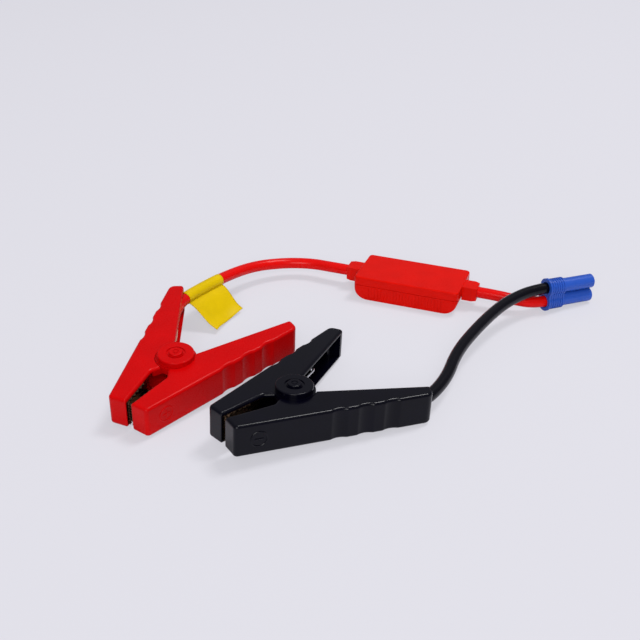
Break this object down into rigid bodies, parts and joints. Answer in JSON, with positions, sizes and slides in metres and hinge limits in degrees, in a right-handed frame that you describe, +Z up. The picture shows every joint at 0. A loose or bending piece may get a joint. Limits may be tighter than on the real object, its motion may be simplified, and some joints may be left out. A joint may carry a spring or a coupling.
{
  "type": "jump lead set",
  "caption": "Short jump leads for a battery pack: red and black sprung clamps with toothed jaws, an inline protection module and a blue two pole plug.",
  "frame": {"origin": "centre of the inline module's base, on the surface that the set lies on", "axes": "+Z up, +X across the set from the clamps towards the plug, +Y away from the clamps"},
  "size_m": [0.2607, 0.1926, 0.0265],
  "materials": {
    "red_nylon": "satin moulded",
    "black_nylon": "satin moulded",
    "red_case": "satin moulded",
    "blue_nylon": "satin moulded",
    "pin_steel": "plain",
    "spring_steel": "bright drawn",
    "copper": "plain",
    "jaw_copper": "copper plated",
    "gold": "gold plated",
    "board_green": "lacquered",
    "diode_black": "moulded",
    "red_silicone": "semi gloss",
    "black_silicone": "semi gloss",
    "yellow_label": "satin vinyl"
  },
  "bodies": {
    "leads": {"red_cable_arm": "red_nylon", "red_pivot_pin": "pin_steel", "red_spring_coils": "spring_steel", "red_cable_lug": "copper", "red_cable_jaw": "jaw_copper", "black_cable_arm": "black_nylon", "black_pivot_pin": "pin_steel", "black_spring_coils": "spring_steel", "black_cable_lug": "copper", "black_cable_jaw": "jaw_copper", "module_lower_shell": "red_case", "module_upper_shell": "red_case", "module_board": "board_green", "module_diodes": "diode_black", "module_bus_bars": "copper", "module_cores": "copper", "module_gland_plug_side": "red_case", "module_gland_clamp_side": "red_case", "plug_housing": "blue_nylon", "plug_contact_black": "gold", "plug_contact_red": "gold", "red_clamp_cable": "red_silicone", "red_plug_cable": "red_silicone", "black_cable": "black_silicone", "cable_label": "yellow_label"},
    "red_free_arm_group": {"red_free_arm": "red_nylon", "red_pivot_plugs": "red_nylon", "red_spring_bridge": "spring_steel", "red_free_jaw": "jaw_copper"},
    "black_free_arm_group": {"black_free_arm": "black_nylon", "black_pivot_plugs": "black_nylon", "black_spring_bridge": "spring_steel", "black_free_jaw": "jaw_copper"}
  },
  "joints": [
    {"name": "red_jaw_hinge", "type": "hinge", "parent": "leads", "child": "red_free_arm_group", "pos_m": [-0.12654, -0.10232, 0.01238], "axis": [0.0308, -0.0846, 0.9959], "range_deg": [0, 28], "stiffness_Nm_per_rad": 0.9, "springref_deg": -34.38},
    {"name": "black_jaw_hinge", "type": "hinge", "parent": "leads", "child": "black_free_arm_group", "pos_m": [-0.06711, -0.1316, 0.01231], "axis": [-0.0455, -0.0352, -0.9983], "range_deg": [0, 28], "stiffness_Nm_per_rad": 0.9, "springref_deg": -34.38}
  ]
}
